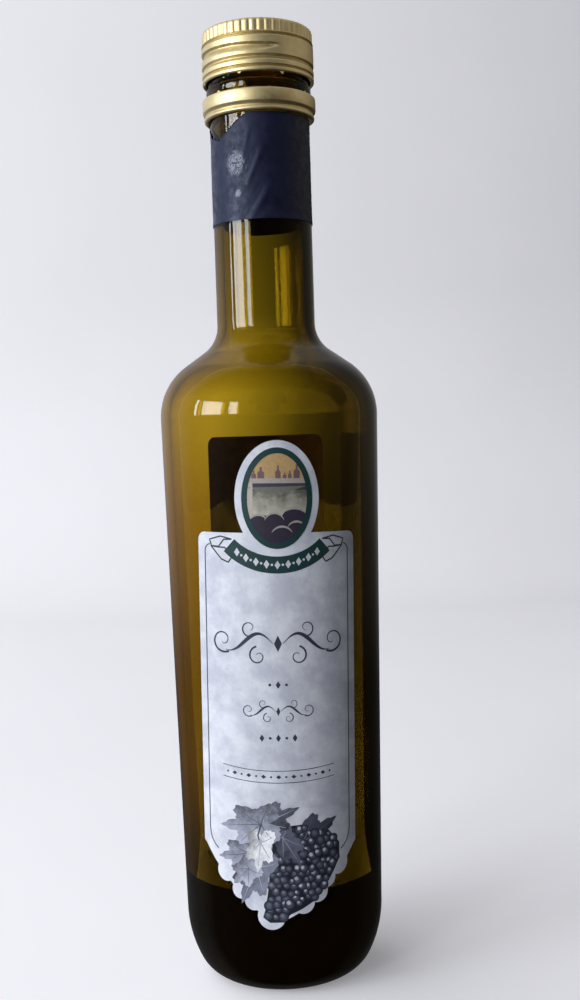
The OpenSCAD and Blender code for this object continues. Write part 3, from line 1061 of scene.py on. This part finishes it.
def flourish(p, z, scale):
    """A plain symmetrical penman's flourish: a wave and three scrolls each side of a lozenge."""
    def swell(t):
        return scale * (0.12 + 0.75 * sin(pi * t) ** 1.5)

    def wave(t):
        return z + scale * 2.6 * sin(pi * 1.6 * t) * (1 - 0.35 * t)

    for side in (-1, 1):
        shares = [i / 40 for i in range(41)]
        p.line([(side * scale * mix(1.2, 12.5, t), wave(t)) for t in shares], swell, 3, SLATE)
        for i, (x, up, r, turn0, turns, shrink, thick, thin) in enumerate(SCROLLS):
            path = curl(scale * x, z + scale * up, scale * r, radians(turn0), turns, shrink, side)
            p.line(path, lambda t: scale * mix(thick, thin, t), 3.4 + 0.4 * i, SLATE)
    lozenge(p, 0, z, 0.9 * scale, 1.9 * scale, 3, SLATE)


def small_row(p, z, count):
    """A short row of lozenges and dots."""
    for i in range(count):
        x = 2.4 * (i - (count - 1) / 2)
        if i % 2 == (count // 2) % 2:
            lozenge(p, x, z, 0.7, 1.1, 3, SLATE)
        else:
            dot(p, x, z, 0.4, 3, SLATE)


LEAF_TIPS = [(0, 1.0), (24, 0.66), (50, 0.93), (80, 0.6), (112, 0.8), (150, 0.5), (180, 0.2)]


def leaf_radius(degrees):
    """How far a vine leaf reaches from the foot of its veins, by angle from its main tip."""
    a = abs(degrees)
    for (a0, r0), (a1, r1) in zip(LEAF_TIPS, LEAF_TIPS[1:]):
        if a <= a1:
            return mix(r0, r1, smooth(a0, a1, a))
    return LEAF_TIPS[-1][1]


def leaf(p, x, z, size, heading, squeeze, level, tint, vein):
    """A toothed leaf whose veins meet at a point; heading is its main tip's angle."""
    c, s = cos(radians(heading)), sin(radians(heading))

    def at(reach, degrees):
        u = reach * cos(radians(degrees))
        v = reach * sin(radians(degrees)) * squeeze
        return x + size * (u * c - v * s), z + size * (u * s + v * c)

    def own(q):
        u, v = (q[0] - x) / size, (q[1] - z) / size
        return (u * c + v * s, v * c - u * s, 0.5)

    outline = []
    for i in range(110):
        degrees = -180 + 360 * i / 110
        saw = 0.055 * (abs((degrees / 360 * 27) % 1 - 0.5) * 4 - 1)
        outline.append(at(leaf_radius(degrees) * (1 + saw), degrees))
    p.shape(outline, level, tint, 2, own)
    for degrees in (0, 50, -50, 112, -112):
        tip = 0.9 * leaf_radius(degrees)
        path = [at(tip * t, degrees * (1 - 0.1 * (1 - t))) for t in (i / 8 for i in range(9))]
        p.line(stepped(path, 0.6), lambda t: 0.34 * (1 - 0.75 * t), level + 0.5, vein)


def inside(point, outline):
    """Whether a point lies in an outline."""
    x, z = point
    hit = False
    for (x0, z0), (x1, z1) in zip(outline, outline[1:] + outline[:1]):
        if (z0 > z) != (z1 > z) and x < (x1 - x0) * (z - z0) / (z1 - z0) + x0:
            hit = not hit
    return hit


# The bunch on the label: its outline by corners, above the label's lower corners
FRUIT_EDGE = [(-1.7, 4.0), (3.7, 7.5), (7.2, 7.8), (14.8, 5.6), (18.6, 1.2), (18.6, -3.5), (16.4, -7.5),
              (13.9, -11.2), (11.0, -14.9), (6.7, -17.4), (3.1, -19.0), (1.6, -21.2), (-2.7, -21.4),
              (-4.8, -19.9), (-4.0, -17.1), (-3.1, -10.7), (-2.6, -4.2)]


def fruit(p):
    """Dark ground and round fruit in uneven rows; neighbours lie at different heights."""
    edge = [(x, LABEL_Z0 + z) for x, z in FRUIT_EDGE]
    p.shape(edge, 1, DARK)
    rng = random.Random(11)
    step = 2.15
    for row in range(-2, 18):
        for column in range(-6, 14):
            x = (column + 0.5 * (row % 2)) * step + rng.uniform(-0.5, 0.5)
            z = LABEL_Z0 + 8 - row * step * 0.86 + rng.uniform(-0.5, 0.5)
            r = rng.uniform(1.0, 1.65)
            bright = rng.choice((0.05, 0.25, 0.7, 1.0, 1.0)) * smooth(-5, 5, x)
            turn = rng.uniform(-0.9, 0.9)
            margin = [inside((x + a * r * 0.45, z + b * r * 0.45), edge) for a, b in
                      ((1, 0), (-1, 0), (0, 1), (0, -1))]
            if not all(margin):
                continue

            def own(q, x=x, z=z, r=r, bright=bright, turn=turn):
                u, v = (q[0] - x) / r, (q[1] - z) / r
                c, s = cos(turn), sin(turn)
                return (u * c - v * s, u * s + v * c, mix(0.05, 1.0, bright))
            p.shape(ellipse(x, z, r, r, 18), 2 + 1.6 * (row % 2) + 0.8 * (column % 2), WHITE, 1, own)


def leaves(p):
    """Eight leaves round the bunch, pale at the left and dark at the right, and a stem."""
    z = LABEL_Z0
    grey, mid, deep = (0.36, 0.38, 0.47), (0.22, 0.235, 0.31), (0.07, 0.078, 0.115)
    leaf(p, 7.0, z + 2.5, 12.0, 32, 0.62, 1.6, deep, (0.16, 0.17, 0.22))
    leaf(p, -6.6, z - 4.6, 12.0, 248, 0.62, 5.6, mid, (0.5, 0.52, 0.6))
    leaf(p, -9.2, z - 1.0, 9.6, 192, 0.62, 6.4, grey, (0.13, 0.14, 0.2))
    leaf(p, -9.0, z - 5.6, 6.6, 225, 0.8, 7.2, (0.44, 0.46, 0.56), (0.2, 0.21, 0.28))
    leaf(p, 1.0, z + 4.2, 10.0, 302, 0.5, 7.2, (0.13, 0.14, 0.2), (0.3, 0.32, 0.4))
    leaf(p, -5.2, z + 8.0, 11.6, 24, 0.52, 8.8, (0.13, 0.14, 0.19), (0.56, 0.58, 0.66))
    leaf(p, -5.2, z + 8.0, 12.4, 186, 0.62, 9.6, (0.38, 0.4, 0.5), (0.14, 0.15, 0.22))
    leaf(p, -5.4, z + 2.6, 8.8, 264, 0.62, 10.2, (0.95, 0.97, 1.0), (0.5, 0.52, 0.62))
    stem = [(-5.2, z + 8.0), (-5.6, z + 6.6), (-6.2, z + 4.6), (-5.8, z + 3.2)]
    p.line(stepped(stem, 0.6), lambda t: 0.55 - 0.15 * t, 11.0, (0.1, 0.105, 0.15))


def make_front_print(inks):
    p = Print("front_print", leaned, front_place)
    cellar_picture(p)
    ring_strip(p, OVAL_Z - 0.1, 9.5, 13.7, 1.65, 8, 90)
    banner(p)
    border(p)
    flourish(p, LABEL_Z1 - 32.0, 1.25)
    small_row(p, LABEL_Z1 - 44.0, 3)
    flourish(p, LABEL_Z1 - 51.8, 0.66)
    small_row(p, LABEL_Z1 - 59.6, 5)
    double_rule(p, LABEL_Z1 - 69.3)
    fruit(p)
    leaves(p)
    return p.build(inks)


def make_back_print(inks):
    """The back label's plain border, a small oval and a few thin rules."""
    p = Print("back_print", lambda q: q, back_place)
    half_w = BACK_W / 2 - 2.2
    frame_line = rounded(half_w, BACK_Z0 + 2.2, BACK_Z1 - 2.2, 2, 2)
    p.line(stepped(closed(frame_line), 1.0), BORDER_W, 1, BORDER)
    middle = BACK_Z1 - 22
    ring_strip(p, middle, 8.4, 11, 1.5, 1, 72)
    leaf(p, 0, middle - 2.5, 9.5, 90, 0.8, 1.4, (0.25, 0.27, 0.34), (0.5, 0.52, 0.6))
    p.shape([(-half_w + 4, BACK_Z0 + 8), (half_w - 4, BACK_Z0 + 8), (half_w - 4, BACK_Z0 + 13),
             (-half_w + 4, BACK_Z0 + 13)], 1, GREEN)
    for i in range(6):
        z = BACK_Z0 + 24 + 6.2 * i
        p.line([(x, z) for x in range(-14, 15)], 0.3, 1, SLATE)
    return p.build(inks)


# ---------------- studio
def make_sweep():
    """Pale floor that curves up into a wall far behind."""
    front, bend, wall, top, half_w = -1700.0, 800.0, 1150.0, 2600.0, 2600.0
    r = wall - bend
    profile = [(front, 0)] + [(y, z) for y, z in arc(bend, r, r, -pi / 2, 0, 24)] + [(wall, top)]
    verts = [(x * MM, y * MM, z * MM) for y, z in profile for x in (-half_w, half_w)]
    faces = [(2 * i, 2 * i + 1, 2 * i + 3, 2 * i + 2) for i in range(len(profile) - 1)]
    mesh = new_mesh("studio_sweep", verts, faces)
    mesh.shade_smooth()
    mesh.materials.append(sweep_material())
    sweep = added("studio_sweep", mesh)
    sweep.visible_glossy = False
    sweep.visible_diffuse = False


# Width of the card behind the bottle, and its height above the floor
CARD_SPAN = 300.0


def card_material():
    """Soft light behind the glass: bright at the left and by the shoulder, dim at the right and low."""
    n = Material("studio_card_light")
    n.tree.nodes.remove(n.shader)
    place = n.split(n.place)
    across = n.math("ADD", n.math("MULTIPLY", place[0], 1 / (CARD_SPAN * MM)), 0.5)
    height = n.math("MULTIPLY", place[2], 1 / (CARD_SPAN * MM))
    lean = n.ramp(height, (0.1, 0.09), (0.2, 0.06), (0.44, 0.046), (0.64, 0.0))
    side = n.ramp(n.math("ADD", across, lean), (0.0, 0.15), (0.2, 0.3), (0.31, 0.75), (0.365, 1.0),
                  (0.44, 0.88), (0.5, 0.46), (0.554, 0.135), (0.59, 0.048), (0.635, 0.015))
    rise = n.ramp(height, (0.06, (0.1, 0.085, 0.05)), (0.17, (0.32, 0.25, 0.12)),
                  (0.3, (0.37, 0.28, 0.12)), (0.46, (0.66, 0.53, 0.28)), (0.56, (0.94, 0.92, 0.85)),
                  (0.615, 1.0), (0.655, 0.66), (0.7, 0.4), (0.85, 0.25))
    glow = n.new("Emission", Color=n.blend(1.0, side, rise, "MULTIPLY"), Strength=1.0)
    n.feed(glow.outputs[0], n.output.inputs["Surface"])
    return n.material


def make_card():
    """A card close behind the bottle that only the glass sees."""
    half_w, y, z0, z1 = CARD_SPAN / 2, 46.0, -5.0, CARD_SPAN
    corners = [(x * MM, y * MM, z * MM)
               for x, z in ((-half_w, z0), (half_w, z0), (half_w, z1), (-half_w, z1))]
    mesh = new_mesh("studio_card", corners, [(0, 1, 2, 3)])
    mesh.materials.append(card_material())
    card = added("studio_card", mesh)
    card.visible_camera = False
    card.visible_diffuse = False
    card.visible_glossy = False
    card.visible_shadow = False


def make_window():
    """A window at the left, a little in front: three panes with dark bars between them."""
    distance, low_angle, high_angle = 1.3, radians(3), radians(22)
    middle = Vector((0, 0, 0.17))
    z0, z1 = (distance * tan(a) for a in (low_angle, high_angle))
    radiance = 9.0
    for i, (a0, a1) in enumerate(((-84, -80.5), (-74, -50), (-42, -33))):
        azimuth = radians((a0 + a1) / 2)
        width = 2 * distance * tan(radians(a1 - a0) / 2)
        data = bpy.data.lights.new(f"window_pane_{i}", "AREA")
        data.shape = "RECTANGLE"
        data.size, data.size_y = width, z1 - z0
        data.energy = radiance * pi * width * (z1 - z0)
        data.color = (0.93, 0.96, 1.0)
        pane = added(data.name, data)
        pane.location = middle + Vector((sin(azimuth) * distance, -cos(azimuth) * distance,
                                         (z0 + z1) / 2))
        pane.rotation_euler = (middle - pane.location).to_track_quat("-Z", "Y").to_euler()
        pane.visible_camera = False


def make_world():
    """Soft room light from the left. Clear reflections see a bright wall behind and a dim room in
    front, satin and matt surfaces see light that falls off to the right, and the camera sees a
    plain pale room."""
    world = bpy.data.worlds.new("studio_world")
    world.use_nodes = True
    n = Nodes(world.node_tree)
    # The view direction's parts, brought from -1 to 1 into 0 to 1
    across, depth, height = [n.new("MapRange", Value=part, From_Min=-1, From_Max=1).outputs["Result"]
                             for part in n.split(n.new("TexCoord").outputs["Generated"])]
    level = n.ramp(height, (0.4, 0.15), (0.52, 1.0))
    behind = n.ramp(across, (0.0, (0.5, 0.5, 0.52)), (0.5, (0.42, 0.42, 0.44)),
                    (0.8, (0.15, 0.14, 0.12)), (1.0, (0.12, 0.11, 0.09)))
    before = n.ramp(across, (0.0, (0.18, 0.18, 0.2)), (0.2, (0.06, 0.06, 0.065)), (0.4, 0.02),
                    (0.8, (0.03, 0.027, 0.02)), (1.0, (0.06, 0.055, 0.045)))
    front_to_back = n.ramp(depth, (0.5, 0.0), (0.62, 1.0))
    sharp = n.blend(1.0, n.blend(front_to_back, before, behind), level, "MULTIPLY")
    satin = n.ramp(across, (0.0, (1.0, 1.06, 1.35)), (0.25, (0.85, 0.88, 0.95)),
                   (0.44, (0.45, 0.45, 0.46)), (0.56, (0.08, 0.076, 0.066)),
                   (0.8, (0.06, 0.056, 0.046)), (1.0, (0.42, 0.39, 0.34)))
    satin = n.blend(1.0, satin, n.ramp(height, (0.3, 0.2), (0.54, 1.0)), "MULTIPLY")
    satin = n.blend(n.ramp(height, (0.6, 0.0), (0.85, 0.5)), satin, (0.75, 0.75, 0.78))
    soft = n.ramp(across, (0.0, (0.6, 0.61, 0.66)), (0.12, (1.15, 1.17, 1.26)),
                  (0.22, (1.8, 1.83, 1.95)), (0.34, (1.5, 1.52, 1.6)), (0.43, 0.4), (0.5, 0.13),
                  (0.62, 0.03), (1.0, 0.01))
    soft = n.blend(1.0, soft, n.ramp(height, (0.25, 0.3), (0.6, 1.0)), "MULTIPLY")
    rays = n.new("LightPath")
    seen = n.blend(rays.outputs["Is Singular Ray"], satin, sharp)
    seen = n.blend(rays.outputs["Is Diffuse Ray"], seen, soft)
    seen = n.blend(rays.outputs["Is Camera Ray"], seen, (0.74, 0.74, 0.77))
    n.new("OutputWorld", Surface=n.new("Background", Color=seen).outputs[0])
    bpy.context.scene.world = world


def make_camera():
    """View of the front from close by, level with the bottle's shoulder, a little down and rolled."""
    yaw, pitch, roll = radians(0.84), radians(2.86), radians(-1.83)
    forward = Vector((sin(yaw) * cos(pitch), cos(yaw) * cos(pitch), -sin(pitch)))
    level_up = Vector((sin(yaw) * sin(pitch), cos(yaw) * sin(pitch), cos(pitch)))
    level_right = Vector((cos(yaw), -sin(yaw), 0))
    right = cos(roll) * level_right + sin(roll) * level_up
    up = cos(roll) * level_up - sin(roll) * level_right
    data = bpy.data.cameras.new("photo_view")
    data.sensor_fit = "VERTICAL"
    data.sensor_height = 36
    data.lens = 44.6
    data.clip_start = 0.01
    camera = added("photo_view", data)
    turn = Matrix((right, up, -forward)).transposed()
    place = Matrix.Translation((0, -0.3859, 0.1659))
    camera.matrix_world = place @ turn.to_4x4()
    bpy.context.scene.camera = camera


def own(piece, node, slot):
    """Gives a piece its body and hides the node that it replaces, if any; slot is not used."""
    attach(piece, "root")
    if node:
        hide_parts(node)


# ---------------- assembly
bpy.context.scene.view_settings.view_transform = "Standard"
make_camera()
make_world()
make_window()
make_sweep()
make_card()

gold = gold_material()
front_paper = paper_material("front_paper", (0.77, 0.80, 0.87), (0.58, 0.60, 0.69))
back_paper = paper_material("back_paper", (0.68, 0.70, 0.74), (0.56, 0.57, 0.62))
# Reverse of the labels, facing into the bottle: the glue side's own tone, plus painted shade that
# darkens it where little light reaches
glue_side_with_painted_shade = paper_material("paper_reverse", (0.28, 0.26, 0.24), (0.2, 0.19, 0.18))
printing = [ink_material(), fruit_material(), leaf_material()]
back_outline = rounded(BACK_W / 2, BACK_Z0, BACK_Z1, BACK_CORNER_R, BACK_CORNER_R)

own(make_glass(), "glass_bottle", "glass")
own(make_vinegar(), "vinegar", "vinegar")
own(make_cap(gold), "screw_cap", "cap_metal")
own(make_teeth(gold), None, "cap_metal")
own(make_ring(gold), "tamper_ring", "cap_metal")
own(make_sleeve(), "neck_sleeve", "sleeve")
own(make_label("front_paper_label", front_outlines(), front_place, front_paper, glue_side_with_painted_shade),
    "front_label", "label_paper")
own(make_front_print(printing), None, "label_paper")
own(make_label("back_paper_label", [back_outline], back_place, back_paper, glue_side_with_painted_shade),
    "back_label", "label_paper")
own(make_back_print(printing), None, "label_paper")
